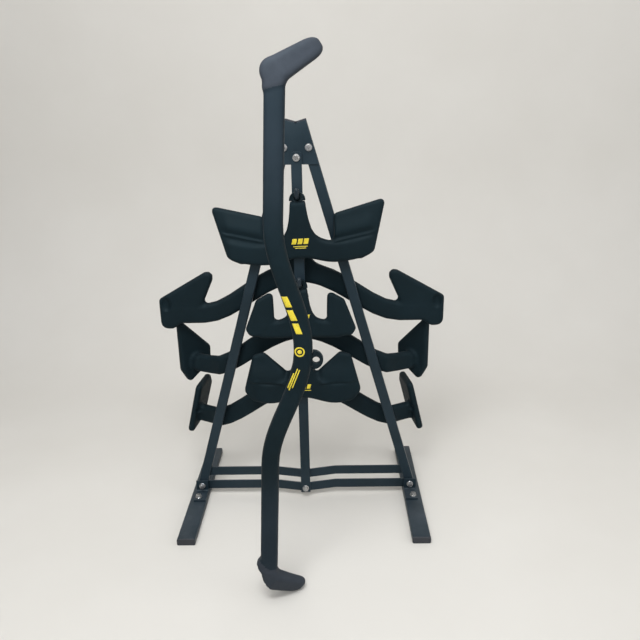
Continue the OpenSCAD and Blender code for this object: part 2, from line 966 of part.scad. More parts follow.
// places the long grip: bar along Z before it leans and stands on its lower handle
module at_wide() {
    translate([wide_x, rack_y - wide_gap, wide_z])
        rotate([0, wide_lean, 0])
            children();
}

function bow_at(z) = min(1, abs(z - wide_bow_up) / wide_bend) * 180;
function bow(z) = wide_bow * (1 + cos(bow_at(z))) / 2;
function bow_angle(z) = atan(wide_bow * PI / 2 / wide_bend * sin(bow_at(z)));

// one station of the bar: ring in the plane across Z
function bar_ring(z) = [for (p = round_box(wide_w / 2 / cos(bow_angle(z)), wide_t / 2, edge_r))
    [bow(z) + p[0], p[1], z]];

// one station of the turn into the upper handle
function turn_ring(a) = [for (p = round_box(wide_root_w / 2, wide_root_t / 2, edge_r))
    let(full = wide_corner * sin(180 * a / wide_turn) + wide_full * a / wide_turn)
    let(r = wide_turn_r - p[0] + (p[0] < 0 ? full : 0))
    [wide_turn_r - r * cos(a), p[1], wide_straight + r * sin(a)]];

// first station of a handle's sleeve
function sleeve_ring(z) = [for (p = round_box(wide_root_w / 2, wide_root_t / 2, edge_r))
    [p[0], p[1], z + p[0] * wide_slant]];

// one station of the upper handle, which narrows and ends round
function hand_ring(x) = let(
    t = x / wide_hand,
    near = (wide_hand - x) / end_r,
    s = near >= 1 ? 1 : sqrt(max(0, 1 - pow(1 - near, 2))),
    k = mix(0.35, 1, s),
    o = [wide_tangent * sin(wide_turn), wide_half + wide_tangent * cos(wide_turn)])
    [for (p = round_box(mix(wide_root_w, wide_tip_w, t) / 2 * k, mix(wide_root_t, wide_tip_t, t) / 2 * k,
        edge_r * k))
        let(q = p[0] - (p[0] < 0 ? wide_full * (1 - t) * k : 0))
        [o[0] + x * sin(wide_turn) + q * cos(wide_turn), wide_back * t * (3 + t) / 4 + p[1],
         o[1] + x * cos(wide_turn) - q * sin(wide_turn)]];

module eye_on_wide() {
    translate([wide_bow + wide_w / 2 + cover_top, 0, 0])
        rotate([0, 90, 0])
            children();
}

module long_grip_eye() {
    reach = wide_w - wide_wall;
    color(steel)
        at_wide()
            eye_on_wide()
                difference() {
                    eye_plate();
                    translate([-eye_w, -eye_w, -cover_top - reach - big])
                        cube([2 * eye_w, 2 * eye_w, big]);
                }
}

module long_grip_cover() {
    half = [for (k = [1:12]) wide_bow_up + wide_bend * k / 12];
    lower = [for (k = [12:-1:0]) wide_bow_up - wide_bend * k / 12];
    straight = wide_straight - wide_sleeve - wide_step;
    bar = concat(lower, half);
    last = [for (p = round_box(wide_w / 2, wide_t / 2, edge_r)) [p[0], p[1], straight + p[0] * wide_slant]];
    n = len(wide_rings);
    reach = wide_w - wide_wall;
    color(rubber)
        at_wide()
            difference() {
                skin(concat([for (k = [n - 1:-1:0]) [for (p = wide_rings[k]) [p[0], p[1], -p[2]]]],
                    [[for (p = last) [p[0], p[1], -p[2]]]], [for (z = bar) bar_ring(z)], [last], wide_rings));
                eye_on_wide()
                    translate([-shank_w / 2 - slip, -eye_t / 2 - slip, -cover_top - reach - slip])
                        cube([shank_w + 2 * slip, eye_t + 2 * slip, reach + slip + 1]);
            }
}

left_foot();
right_foot();
foot_plugs();
left_leg();
right_leg();
leg_caps();
gusset_plate();
center_post();
lower_cross_bar();
upper_cross_bar();
left_foot_bracket();
right_foot_bracket();
front_hook_1();
front_hook_2();
front_hook_3();
back_hook_1();
back_hook_2();
back_hook_3();
washers();
gusset_bolts();
gusset_nuts();
post_bolts();
post_nuts();
leg_bolts();
leg_nuts();
foot_bolts();
foot_nuts();
top_close_eye();
top_close_cover();
mid_close_eye();
mid_close_cover();
low_close_eye();
low_close_cover();
high_medium_eye();
high_medium_cover();
mid_medium_eye();
mid_medium_cover();
low_medium_eye();
low_medium_cover();
long_grip_eye();
long_grip_cover();
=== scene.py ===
import math

import bmesh
import bpy
import numpy as np
from mathutils import Matrix, Vector
from mathutils.bvhtree import BVHTree


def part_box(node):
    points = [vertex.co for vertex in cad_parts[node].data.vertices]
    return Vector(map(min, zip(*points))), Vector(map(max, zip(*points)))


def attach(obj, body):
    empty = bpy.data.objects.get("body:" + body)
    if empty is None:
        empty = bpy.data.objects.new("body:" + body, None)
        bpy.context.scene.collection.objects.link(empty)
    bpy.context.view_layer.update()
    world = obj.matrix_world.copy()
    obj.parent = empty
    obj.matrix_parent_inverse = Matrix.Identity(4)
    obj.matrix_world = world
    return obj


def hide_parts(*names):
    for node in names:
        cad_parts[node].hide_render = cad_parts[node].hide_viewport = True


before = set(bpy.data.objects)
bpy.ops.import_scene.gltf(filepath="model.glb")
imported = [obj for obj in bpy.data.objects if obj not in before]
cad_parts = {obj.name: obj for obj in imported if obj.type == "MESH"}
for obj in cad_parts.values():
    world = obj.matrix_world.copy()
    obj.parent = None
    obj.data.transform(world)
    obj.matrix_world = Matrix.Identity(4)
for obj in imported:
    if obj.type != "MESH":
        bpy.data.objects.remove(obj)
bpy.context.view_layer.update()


# Feet
# Two flat steel tubes lie on the floor and carry the whole rack. They are cut from rectangular tube
# and powder coated a satin blue-black.

def node_group(name, inputs, outputs):
    """An empty shader group with its sockets; returns the tree, its input node and its output node."""
    tree = bpy.data.node_groups.new(name, "ShaderNodeTree")
    for label, kind, value in inputs:
        sock = tree.interface.new_socket(label, in_out="INPUT", socket_type=kind)
        sock.default_value = value
    for label, kind in outputs:
        tree.interface.new_socket(label, in_out="OUTPUT", socket_type=kind)
    return tree, tree.nodes.new("NodeGroupInput"), tree.nodes.new("NodeGroupOutput")


def noise(tree, vector, scale, detail=2.0, rough=0.5):
    """A noise texture on the given coordinates, its scale a number or a socket."""
    n = tree.nodes.new("ShaderNodeTexNoise")
    n.inputs["Detail"].default_value = detail
    n.inputs["Roughness"].default_value = rough
    if hasattr(scale, "links"):
        tree.links.new(scale, n.inputs["Scale"])
    else:
        n.inputs["Scale"].default_value = scale
    tree.links.new(vector, n.inputs["Vector"])
    return n.outputs["Fac"]


def remap(tree, value, low, high, to_low=0.0, to_high=1.0):
    """The value eased from the span low to high onto another span, each end a number or a socket."""
    n = tree.nodes.new("ShaderNodeMapRange")
    n.interpolation_type = "SMOOTHSTEP"
    tree.links.new(value, n.inputs["Value"])
    for label, end in (("From Min", low), ("From Max", high), ("To Min", to_low), ("To Max", to_high)):
        if hasattr(end, "links"):
            tree.links.new(end, n.inputs[label])
        else:
            n.inputs[label].default_value = end
    return n.outputs["Result"]


def calc(tree, how, a, b):
    """One sum of two values, each a number or a socket."""
    n = tree.nodes.new("ShaderNodeMath")
    n.operation = how
    for k, v in enumerate((a, b)):
        if hasattr(v, "links"):
            tree.links.new(v, n.inputs[k])
        else:
            n.inputs[k].default_value = v
    return n.outputs["Value"]


def tint(tree, fac, a, b):
    """Colour a where fac is 0 and b where it is 1, each a colour or a socket."""
    n = tree.nodes.new("ShaderNodeMix")
    n.data_type = "RGBA"
    tree.links.new(fac, n.inputs["Factor"])
    for label, v in (("A", a), ("B", b)):
        sock = [s for s in n.inputs if s.name == label and s.type == "RGBA"][0]
        if hasattr(v, "links"):
            tree.links.new(v, sock)
        else:
            sock.default_value = v
    return [s for s in n.outputs if s.type == "RGBA"][0]


def make_dust_and_top_light():
    """Pale dust and painted top light on faces which look up, broken into soft patches."""
    tree, gin, gout = node_group("dust_and_top_light",
        [("Vector", "NodeSocketVector", (0, 0, 0)), ("Patch Scale", "NodeSocketFloat", 14.0),
         ("Amount", "NodeSocketFloat", 0.5)],
        [("Mask", "NodeSocketFloat")])
    geo = tree.nodes.new("ShaderNodeNewGeometry")
    xyz = tree.nodes.new("ShaderNodeSeparateXYZ")
    tree.links.new(geo.outputs["Normal"], xyz.inputs["Vector"])
    # Faces that look up are made paler: partly settled dust, partly painted light from above.
    up = remap(tree, xyz.outputs["Z"], 0.1, 1.0, 0.12, 1.0)
    cloud = noise(tree, gin.outputs["Vector"], gin.outputs["Patch Scale"], detail=6.0, rough=0.62)
    patch = remap(tree, cloud, 0.35, 0.75, 0.25, 1.0)
    speck = remap(tree, noise(tree, gin.outputs["Vector"], 900.0, detail=1.0), 0.55, 0.75, 0.55, 1.0)
    both = calc(tree, "MULTIPLY", calc(tree, "MULTIPLY", up, patch), speck)
    tree.links.new(calc(tree, "MULTIPLY", both, gin.outputs["Amount"]), gout.inputs["Mask"])
    return tree


def make_coat_skin():
    """Powder coat: a fine orange peel, a slow drift in tone and a spread of gloss."""
    tree, gin, gout = node_group("coat_skin",
        [("Vector", "NodeSocketVector", (0, 0, 0)), ("Peel Scale", "NodeSocketFloat", 420.0),
         ("Dark", "NodeSocketColor", (0, 0, 0, 1)), ("Light", "NodeSocketColor", (0.1, 0.1, 0.1, 1)),
         ("Gloss Low", "NodeSocketFloat", 0.4), ("Gloss High", "NodeSocketFloat", 0.55)],
        [("Color", "NodeSocketColor"), ("Roughness", "NodeSocketFloat"), ("Height", "NodeSocketFloat")])
    peel = noise(tree, gin.outputs["Vector"], gin.outputs["Peel Scale"], detail=1.5, rough=0.45)
    drift = noise(tree, gin.outputs["Vector"], 9.0, detail=4.0, rough=0.6)
    speck = noise(tree, gin.outputs["Vector"], 1600.0, detail=0.0)
    tone = calc(tree, "ADD", calc(tree, "MULTIPLY", drift, 0.75), calc(tree, "MULTIPLY", speck, 0.25))
    share = remap(tree, tone, 0.3, 0.7)
    tree.links.new(tint(tree, share, gin.outputs["Dark"], gin.outputs["Light"]), gout.inputs["Color"])
    tree.links.new(remap(tree, drift, 0.3, 0.7, gin.outputs["Gloss Low"], gin.outputs["Gloss High"]),
        gout.inputs["Roughness"])
    tree.links.new(calc(tree, "ADD", peel, calc(tree, "MULTIPLY", speck, 0.2)), gout.inputs["Height"])
    return tree


dust_and_top_light = make_dust_and_top_light()
coat_skin = make_coat_skin()


def blank_material(name):
    """A node material with its Principled shader and an Object coordinate."""
    mat = bpy.data.materials.new(name)
    mat.use_nodes = True
    tree = mat.node_tree
    shader = tree.nodes["Principled BSDF"]
    where = tree.nodes.new("ShaderNodeTexCoord").outputs["Object"]
    return mat, tree, shader, where


def place_group(tree, group, where, **values):
    """The group in a material, on its coordinates, with its own values."""
    n = tree.nodes.new("ShaderNodeGroup")
    n.node_tree = group
    tree.links.new(where, n.inputs["Vector"])
    for label, v in values.items():
        n.inputs[label.replace("_", " ")].default_value = v
    return n


def bump_to(tree, shader, height, distance, strength):
    """The height as a bump in the shader's normal."""
    n = tree.nodes.new("ShaderNodeBump")
    n.inputs["Distance"].default_value = distance
    n.inputs["Strength"].default_value = strength
    tree.links.new(height, n.inputs["Height"])
    tree.links.new(n.outputs["Normal"], shader.inputs["Normal"])


def coated_steel(name, dark, light, gloss, dust_and_light_amount, peel=420.0):
    """Powder-coated steel, with dust and painted top light on the faces that look up."""
    mat, tree, shader, where = blank_material(name)
    coat = place_group(tree, coat_skin, where, Peel_Scale=peel, Dark=dark, Light=light,
        Gloss_Low=gloss[0], Gloss_High=gloss[1])
    # Upward faces turn pale grey here: dust, and painted light from above.
    dust_and_light = place_group(tree, dust_and_top_light, where, Patch_Scale=11.0, Amount=dust_and_light_amount)
    dust_and_light_grey = (0.22, 0.24, 0.27, 1)
    tree.links.new(tint(tree, dust_and_light.outputs["Mask"], coat.outputs["Color"], dust_and_light_grey),
        shader.inputs["Base Color"])
    dulled = calc(tree, "MULTIPLY", dust_and_light.outputs["Mask"], 0.25)
    tree.links.new(calc(tree, "ADD", coat.outputs["Roughness"], dulled), shader.inputs["Roughness"])
    shader.inputs["Specular IOR Level"].default_value = 0.36
    shader.inputs["Specular Tint"].default_value = (0.78, 0.94, 1.0, 1)
    bump_to(tree, shader, coat.outputs["Height"], distance=0.0002, strength=0.35)
    return mat


satin_coat = coated_steel("satin_coat", (0.0036, 0.0112, 0.0176, 1), (0.0074, 0.0180, 0.0276, 1),
    gloss=(0.36, 0.50), dust_and_light_amount=0.26)

weld_gap = 1e-5
flat_angle = math.radians(0.5)
round_angle = math.radians(32)
edge_angle = math.radians(50)


def merged_copy(node, name):
    """A copy of a solid as one joined skin, flat faces and round ones told apart by their angle."""
    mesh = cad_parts[node].data.copy()
    mesh.name = name
    bm = bmesh.new()
    bm.from_mesh(mesh)
    bmesh.ops.remove_doubles(bm, verts=bm.verts, dist=weld_gap)
    bmesh.ops.dissolve_limit(bm, angle_limit=flat_angle, verts=bm.verts, edges=bm.edges)
    bm.to_mesh(mesh)
    bm.free()
    mesh.materials.clear()
    piece = bpy.data.objects.new(name, mesh)
    bpy.context.scene.collection.objects.link(piece)
    return piece


def steel_piece(node, name, body, mat, edge):
    """A hard part: the solid's own shape with its edges broken by a bevel as wide as edge."""
    piece = merged_copy(node, name)
    mesh = piece.data
    mesh.materials.append(mat)
    mesh.polygons.foreach_set("use_smooth", [True] * len(mesh.polygons))
    mesh.set_sharp_from_angle(angle=round_angle)
    bevel = piece.modifiers.new("broken_edge", "BEVEL")
    bevel.width = edge
    bevel.segments = 2
    bevel.limit_method = "ANGLE"
    bevel.angle_limit = edge_angle
    bevel.use_clamp_overlap = True
    bevel.harden_normals = True
    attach(piece, body)
    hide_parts(node)


for side in ("left", "right"):
    steel_piece(side + "_foot", side + "_foot_tube", "rack", satin_coat, edge=0.0004)


# Foot end plugs
# Moulded plastic plugs pushed into the four open tube ends. Their faces have a fine spark-eroded
# texture and stand a little proud of the tube.

def moulded_plastic(name):
    """Black plastic with a fine sparked texture and a film of dust and painted top light."""
    mat, tree, shader, where = blank_material(name)
    coat = place_group(tree, coat_skin, where, Peel_Scale=1500.0, Dark=(0.012, 0.015, 0.021, 1),
        Light=(0.022, 0.026, 0.034, 1), Gloss_Low=0.46, Gloss_High=0.62)
    # Upward faces turn pale grey here: dust, and painted light from above.
    dust_and_light = place_group(tree, dust_and_top_light, where, Patch_Scale=30.0, Amount=0.35)
    dust_and_light_grey = (0.24, 0.26, 0.29, 1)
    tree.links.new(tint(tree, dust_and_light.outputs["Mask"], coat.outputs["Color"], dust_and_light_grey),
        shader.inputs["Base Color"])
    tree.links.new(coat.outputs["Roughness"], shader.inputs["Roughness"])
    bump_to(tree, shader, coat.outputs["Height"], distance=0.0001, strength=0.5)
    return mat


plug_plastic = moulded_plastic("plug_plastic")
steel_piece("foot_plugs", "foot_end_plugs", "rack", plug_plastic, edge=0.0008)


# Legs
# Two square steel tubes lean together from the feet and meet at the top. Same satin coat as the
# feet, with rolled tube corners and a plastic cap on each top end.

for side in ("left", "right"):
    steel_piece(side + "_leg", side + "_leg_tube", "rack", satin_coat, edge=0.0004)
steel_piece("leg_caps", "leg_top_caps", "rack", plug_plastic, edge=0.0006)


# Gusset plate, upright and cross-bars
# Laser-cut flat steel: a plate ties the leg tops, a flat bar hangs from it to the floor bars, and two
# bent strips brace the legs. The cut edges are lightly rounded before coating.

for node, name in (("gusset_plate", "gusset"), ("center_post", "upright_bar"),
        ("lower_cross_bar", "lower_brace"), ("upper_cross_bar", "upper_brace")):
    steel_piece(node, name, "rack", satin_coat, edge=0.0009)


# Foot brackets
# Short steel angles that bolt each leg to its foot. They are folded from flat bar and coated with the
# rest of the rack.

for side in ("left", "right"):
    steel_piece(side + "_foot_bracket", side + "_angle", "rack", satin_coat, edge=0.0006)


# Hooks
# Round rods pushed through the upright and turned up at the end. Their coat is a duller grey all along the
# rod, rubbed by the eyes that hang and slide on it.

rubbed_coat = coated_steel("rubbed_coat", (0.006, 0.011, 0.016, 1), (0.017, 0.024, 0.032, 1),
    gloss=(0.26, 0.42), dust_and_light_amount=0.08, peel=700.0)
for k in (1, 2, 3):
    steel_piece(f"front_hook_{k}", f"front_rod_{k}", "rack", rubbed_coat, edge=0.0004)
    steel_piece(f"back_hook_{k}", f"back_rod_{k}", "rack", rubbed_coat, edge=0.0004)


# Bolts, washers and nuts
# Bright zinc hex screws with flat washers clamp the plate, the upright and the brackets. Heads are
# chamfered on top, and two turns of thread stand out behind each nut.

corner_width = 0.015
head_height = 0.0053
nut_height = 0.0065
thread_out = 0.002
screw_width = 0.008
washer_width = 0.017
washer_height = 0.0016
washer_bevel = 0.3           # share of the washer's height
crown_share = 0.405          # radius of a head's flat top, as a share of its width over corners
chamfer_run = 1.732          # a chamfer of 30 degrees, outward per unit of height
core_share = 0.43            # radius at the foot of the thread, as a share of the screw's width
thread_turns = 2
hex_sides, chamfer_sides, washer_sides, thread_sides = 6, 48, 40, 32
full_turn = 6.283
spin_seed = 7
facet_angle = math.radians(28)


def zinc_plate(name):
    """Bright zinc with a cloudy tone and a fine crystal grain."""
    mat, tree, shader, where = blank_material(name)
    fine = noise(tree, where, 260.0, detail=4.0, rough=0.6)
    cloud = remap(tree, noise(tree, where, 60.0, detail=3.0, rough=0.5), 0.3, 0.7)
    tree.links.new(tint(tree, cloud, (0.34, 0.35, 0.37, 1), (0.52, 0.52, 0.51, 1)),
        shader.inputs["Base Color"])
    tree.links.new(remap(tree, fine, 0.3, 0.7, 0.22, 0.40), shader.inputs["Roughness"])
    shader.inputs["Metallic"].default_value = 1.0
    bump_to(tree, shader, fine, distance=0.0001, strength=0.25)
    return mat


bright_zinc = zinc_plate("bright_zinc")


def fastener_points():
    """Head and nut places of every screw, read from the boxes of the solids."""
    rows = []
    half = corner_width / 2
    for node in ("gusset_bolts", "leg_bolts"):
        lo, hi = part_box(node)
        for side in (-1, 1):
            middle = (lo.z + hi.z) / 2
            rows.append((side * (hi.x - half), lo.y + head_height, middle, (0, -1, 0), hi.y - lo.y))
    lo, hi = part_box("post_bolts")
    flat = half * math.cos(math.radians(30))
    for z in (lo.z + flat, hi.z - flat):
        rows.append((0.0, lo.y + head_height, z, (0, -1, 0), hi.y - lo.y))
    lo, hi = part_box("foot_bolts")
    for side in (-1, 1):
        middle = (lo.y + hi.y) / 2
        rows.append((side * (hi.x - half), middle, hi.z - head_height, (0, 0, 1), hi.z - lo.z))
    points, axes, far = [], [], []
    for x, y, z, axis, whole in rows:
        grip = whole - head_height - nut_height - thread_out
        seat = Vector((x, y, z))
        points += [seat, seat - grip * Vector(axis)]
        axes += [axis, axis]
        far += [0.0, 1.0]
    return points, axes, far


def fastener_tree():
    """Hex head with washer at the near points, nut with thread at the far ones."""
    tree = bpy.data.node_groups.new("hex_fasteners", "GeometryNodeTree")
    tree.interface.new_socket("Geometry", in_out="INPUT", socket_type="NodeSocketGeometry")
    ids = {}
    for label in ("Corner Width", "Head Height", "Nut Height", "Thread Out", "Screw Width", "Washer Width",
            "Washer Height", "Finish"):
        kind = "NodeSocketMaterial" if label == "Finish" else "NodeSocketFloat"
        sock = tree.interface.new_socket(label, in_out="INPUT", socket_type=kind)
        ids[label] = sock.identifier
    tree.interface.new_socket("Geometry", in_out="OUTPUT", socket_type="NodeSocketGeometry")
    gin = tree.nodes.new("NodeGroupInput")
    gout = tree.nodes.new("NodeGroupOutput")
    link = tree.links.new

    def feed(sock, v):
        """A number or another socket into a socket."""
        if hasattr(v, "links"):
            link(v, sock)
        else:
            sock.default_value = v

    def drum(sides, radius, depth, low):
        """A cylinder that stands on z = low."""
        n = tree.nodes.new("GeometryNodeMeshCylinder")
        n.inputs["Vertices"].default_value = sides
        feed(n.inputs["Radius"], radius)
        feed(n.inputs["Depth"], depth)
        return lift(n.outputs["Mesh"], calc(tree, "ADD", calc(tree, "MULTIPLY", depth, 0.5), low))

    def taper(sides, low_radius, top_radius, depth, low):
        """A frustum that stands on z = low."""
        n = tree.nodes.new("GeometryNodeMeshCone")
        n.inputs["Vertices"].default_value = sides
        feed(n.inputs["Radius Bottom"], low_radius)
        feed(n.inputs["Radius Top"], top_radius)
        feed(n.inputs["Depth"], depth)
        return lift(n.outputs["Mesh"], low)

    def lift(mesh, z):
        """A mesh moved up by z."""
        n = tree.nodes.new("GeometryNodeTransform")
        xyz = tree.nodes.new("ShaderNodeCombineXYZ")
        feed(xyz.inputs["Z"], z)
        link(mesh, n.inputs["Geometry"])
        link(xyz.outputs["Vector"], n.inputs["Translation"])
        return n.outputs["Geometry"]

    def common(a, b):
        """What two solids share."""
        n = tree.nodes.new("GeometryNodeMeshBoolean")
        n.operation = "INTERSECT"
        n.solver = "EXACT"
        link(a, n.inputs["Mesh 2"])
        link(b, n.inputs["Mesh 2"])
        return n.outputs["Mesh"]

    def join(*parts):
        """Several meshes as one."""
        n = tree.nodes.new("GeometryNodeJoinGeometry")
        for p in parts:
            link(p, n.inputs["Geometry"])
        return n.outputs["Geometry"]

    half = calc(tree, "MULTIPLY", gin.outputs["Corner Width"], 0.5)
    crown = calc(tree, "MULTIPLY", gin.outputs["Corner Width"], crown_share)
    head_h = gin.outputs["Head Height"]
    nut_h = gin.outputs["Nut Height"]
    skirt = calc(tree, "ADD", crown, calc(tree, "MULTIPLY", head_h, chamfer_run))
    head = common(drum(hex_sides, half, head_h, 0.0), taper(chamfer_sides, skirt, crown, head_h, 0.0))
    wash_r = calc(tree, "MULTIPLY", gin.outputs["Washer Width"], 0.5)
    wash_h = gin.outputs["Washer Height"]
    wash_low = calc(tree, "MULTIPLY", wash_h, -1.0)
    rim_h = calc(tree, "MULTIPLY", wash_h, 1.0 - washer_bevel)
    bevel_h = calc(tree, "MULTIPLY", wash_h, washer_bevel)
    bevel_low = calc(tree, "MULTIPLY", wash_h, -washer_bevel)
    bevel_r = calc(tree, "SUBTRACT", wash_r, bevel_h)
    washer = join(drum(washer_sides, wash_r, rim_h, wash_low),
        taper(washer_sides, wash_r, bevel_r, bevel_h, bevel_low))
    near = join(head, washer)

    nut_low = calc(tree, "MULTIPLY", nut_h, -1.0)
    nut_skirt = calc(tree, "ADD", crown, calc(tree, "MULTIPLY", nut_h, chamfer_run))
    nut = common(drum(hex_sides, half, nut_h, nut_low),
        taper(chamfer_sides, crown, nut_skirt, nut_h, nut_low))
    core_r = calc(tree, "MULTIPLY", gin.outputs["Screw Width"], core_share)
    full_r = calc(tree, "MULTIPLY", gin.outputs["Screw Width"], 0.5)
    out = gin.outputs["Thread Out"]
    end = calc(tree, "SUBTRACT", nut_low, out)
    pitch = calc(tree, "MULTIPLY", out, 1.0 / thread_turns)
    flank = calc(tree, "MULTIPLY", pitch, 0.5)
    turns = []
    for k in range(thread_turns):
        low = calc(tree, "ADD", end, calc(tree, "MULTIPLY", pitch, float(k)))
        turns.append(taper(thread_sides, core_r, full_r, flank, low))
        turns.append(taper(thread_sides, full_r, core_r, flank, calc(tree, "ADD", low, flank)))
    back = join(nut, *turns)

    axis = tree.nodes.new("GeometryNodeInputNamedAttribute")
    axis.data_type = "FLOAT_VECTOR"
    axis.inputs["Name"].default_value = "axis"
    align = tree.nodes.new("FunctionNodeAlignRotationToVector")
    align.axis = "Z"
    link(axis.outputs["Attribute"], align.inputs["Vector"])
    spin = tree.nodes.new("FunctionNodeRandomValue")
    spin.data_type = "FLOAT"
    for label, v in (("Min", 0.0), ("Max", full_turn)):
        [s for s in spin.inputs if s.name == label and s.type == "VALUE"][0].default_value = v
    spin.inputs["Seed"].default_value = spin_seed
    about = tree.nodes.new("ShaderNodeCombineXYZ")
    link([s for s in spin.outputs if s.type == "VALUE" and s.enabled][0], about.inputs["Z"])
    as_turn = tree.nodes.new("FunctionNodeEulerToRotation")
    link(about.outputs["Vector"], as_turn.inputs["Euler"])
    rotate = tree.nodes.new("FunctionNodeRotateRotation")
    rotate.rotation_space = "LOCAL"
    link(align.outputs["Rotation"], rotate.inputs["Rotation"])
    link(as_turn.outputs["Rotation"], rotate.inputs["Rotate By"])
    where = tree.nodes.new("GeometryNodeInputNamedAttribute")
    where.data_type = "FLOAT"
    where.inputs["Name"].default_value = "far"
    parts = []
    for shape, how in ((near, "LESS_THAN"), (back, "GREATER_THAN")):
        pick = tree.nodes.new("FunctionNodeCompare")
        pick.data_type = "FLOAT"
        pick.operation = how
        left, right = [s for s in pick.inputs if s.name in ("A", "B") and s.type == "VALUE"]
        link(where.outputs["Attribute"], left)
        right.default_value = 0.5
        put = tree.nodes.new("GeometryNodeInstanceOnPoints")
        link(gin.outputs["Geometry"], put.inputs["Points"])
        link(pick.outputs["Result"], put.inputs["Selection"])
        link(shape, put.inputs["Instance"])
        link(rotate.outputs["Rotation"], put.inputs["Rotation"])
        parts.append(put.outputs["Instances"])
    real = tree.nodes.new("GeometryNodeRealizeInstances")
    link(join(*parts), real.inputs["Geometry"])
    paint = tree.nodes.new("GeometryNodeSetMaterial")
    link(real.outputs["Geometry"], paint.inputs["Geometry"])
    link(gin.outputs["Finish"], paint.inputs["Material"])
    link(paint.outputs["Geometry"], gout.inputs["Geometry"])
    return tree, ids


def plain_mesh(piece):
    """A piece's mesh with its modifiers carried out."""
    ready = piece.evaluated_get(bpy.context.evaluated_depsgraph_get())
    return bpy.data.meshes.new_from_object(ready)


points, axes, far = fastener_points()
seats = bpy.data.meshes.new("screw_seats")
seats.from_pydata(points, [], [])
axis_rows = seats.attributes.new("axis", "FLOAT_VECTOR", "POINT")
axis_rows.data.foreach_set("vector", [v for axis in axes for v in axis])
far_rows = seats.attributes.new("far", "FLOAT", "POINT")
far_rows.data.foreach_set("value", far)
seat_points = bpy.data.objects.new("screw_seats", seats)
bpy.context.scene.collection.objects.link(seat_points)
tree, ids = fastener_tree()
maker = seat_points.modifiers.new("hex_fasteners", "NODES")
maker.node_group = tree
for label, v in (("Corner Width", corner_width), ("Head Height", head_height), ("Nut Height", nut_height),
        ("Thread Out", thread_out), ("Screw Width", screw_width), ("Washer Width", washer_width),
        ("Washer Height", washer_height), ("Finish", bright_zinc)):
    maker[ids[label]] = v
screws_mesh = plain_mesh(seat_points)
seat_points.modifiers.remove(maker)
bpy.data.objects.remove(seat_points)
screws_mesh.polygons.foreach_set("use_smooth", [True] * len(screws_mesh.polygons))
screws_mesh.set_sharp_from_angle(angle=facet_angle)
screws = bpy.data.objects.new("screws_washers_nuts", screws_mesh)
bpy.context.scene.collection.objects.link(screws)
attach(screws, "rack")
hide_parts("washers", "gusset_bolts", "gusset_nuts", "post_bolts", "post_nuts",
    "leg_bolts", "leg_nuts", "foot_bolts", "foot_nuts")


# Steel eyes
# Each grip hangs by a flat steel eye whose shank is buried in the moulding. The plate is black from its
# hardening bath, and rubbed paler in scattered patches by the hook and the cable clip.

def blackened_steel(name):
    """Hardened black steel, cloudy and rubbed paler in places."""
    mat, tree, shader, where = blank_material(name)
    scale = noise(tree, where, 70.0, detail=5.0, rough=0.6)
    fine = noise(tree, where, 900.0, detail=2.0)
    rub = remap(tree, noise(tree, where, 38.0, detail=6.0, rough=0.7), 0.52, 0.72)
    tone = remap(tree, scale, 0.3, 0.7)
    base = tint(tree, tone, (0.003, 0.008, 0.011, 1), (0.008, 0.014, 0.018, 1))
    rubbed_grey = (0.030, 0.042, 0.050, 1)
    tree.links.new(tint(tree, calc(tree, "MULTIPLY", rub, 0.6), base, rubbed_grey),
        shader.inputs["Base Color"])
    tree.links.new(remap(tree, scale, 0.3, 0.7, 0.34, 0.50), shader.inputs["Roughness"])
    shader.inputs["Metallic"].default_value = 0.35
    shader.inputs["Specular IOR Level"].default_value = 0.3
    shader.inputs["Specular Tint"].default_value = (0.70, 0.92, 1.0, 1)
    bump_to(tree, shader, fine, distance=0.00015, strength=0.3)
    return mat


eye_black = blackened_steel("eye_black")
grips = ("top_close", "mid_close", "low_close", "high_medium", "mid_medium", "low_medium")
for grip in grips:
    steel_piece(grip + "_eye", grip + "_lug", grip + "_grip", eye_black, edge=0.0012)
steel_piece("long_grip_eye", "long_lug", "long_grip", eye_black, edge=0.0012)


# Moulded covers
# Dense black rubber is moulded round the steel in one shot, so arm, neck and paddle run into each
# other with soft fillets. The skin is matte, with a fine leathery grain from the mould.

def make_moulded_skin():
    """Rubber skin: fine pebble grain, slow blotches in tone and a spread of gloss."""
    tree, gin, gout = node_group("moulded_skin",
        [("Vector", "NodeSocketVector", (0, 0, 0)), ("Grain Scale", "NodeSocketFloat", 650.0),
         ("Dark", "NodeSocketColor", (0, 0, 0, 1)), ("Light", "NodeSocketColor", (0.1, 0.1, 0.1, 1)),
         ("Gloss Low", "NodeSocketFloat", 0.5), ("Gloss High", "NodeSocketFloat", 0.65)],
        [("Color", "NodeSocketColor"), ("Roughness", "NodeSocketFloat"), ("Height", "NodeSocketFloat")])
    cell = tree.nodes.new("ShaderNodeTexVoronoi")
    cell.feature = "SMOOTH_F1"
    tree.links.new(gin.outputs["Vector"], cell.inputs["Vector"])
    tree.links.new(gin.outputs["Grain Scale"], cell.inputs["Scale"])
    blot = noise(tree, gin.outputs["Vector"], 7.0, detail=5.0, rough=0.6)
    fine = noise(tree, gin.outputs["Vector"], 120.0, detail=4.0, rough=0.6)
    tone = calc(tree, "ADD", calc(tree, "MULTIPLY", blot, 0.7), calc(tree, "MULTIPLY", fine, 0.3))
    share = remap(tree, tone, 0.32, 0.68)
    tree.links.new(tint(tree, share, gin.outputs["Dark"], gin.outputs["Light"]), gout.inputs["Color"])
    gloss = calc(tree, "ADD", calc(tree, "MULTIPLY", blot, 0.5), calc(tree, "MULTIPLY", fine, 0.5))
    tree.links.new(remap(tree, gloss, 0.3, 0.7, gin.outputs["Gloss Low"], gin.outputs["Gloss High"]),
        gout.inputs["Roughness"])
    height = calc(tree, "SUBTRACT", calc(tree, "MULTIPLY", fine, 0.5), cell.outputs["Distance"])
    tree.links.new(height, gout.inputs["Height"])
    return tree


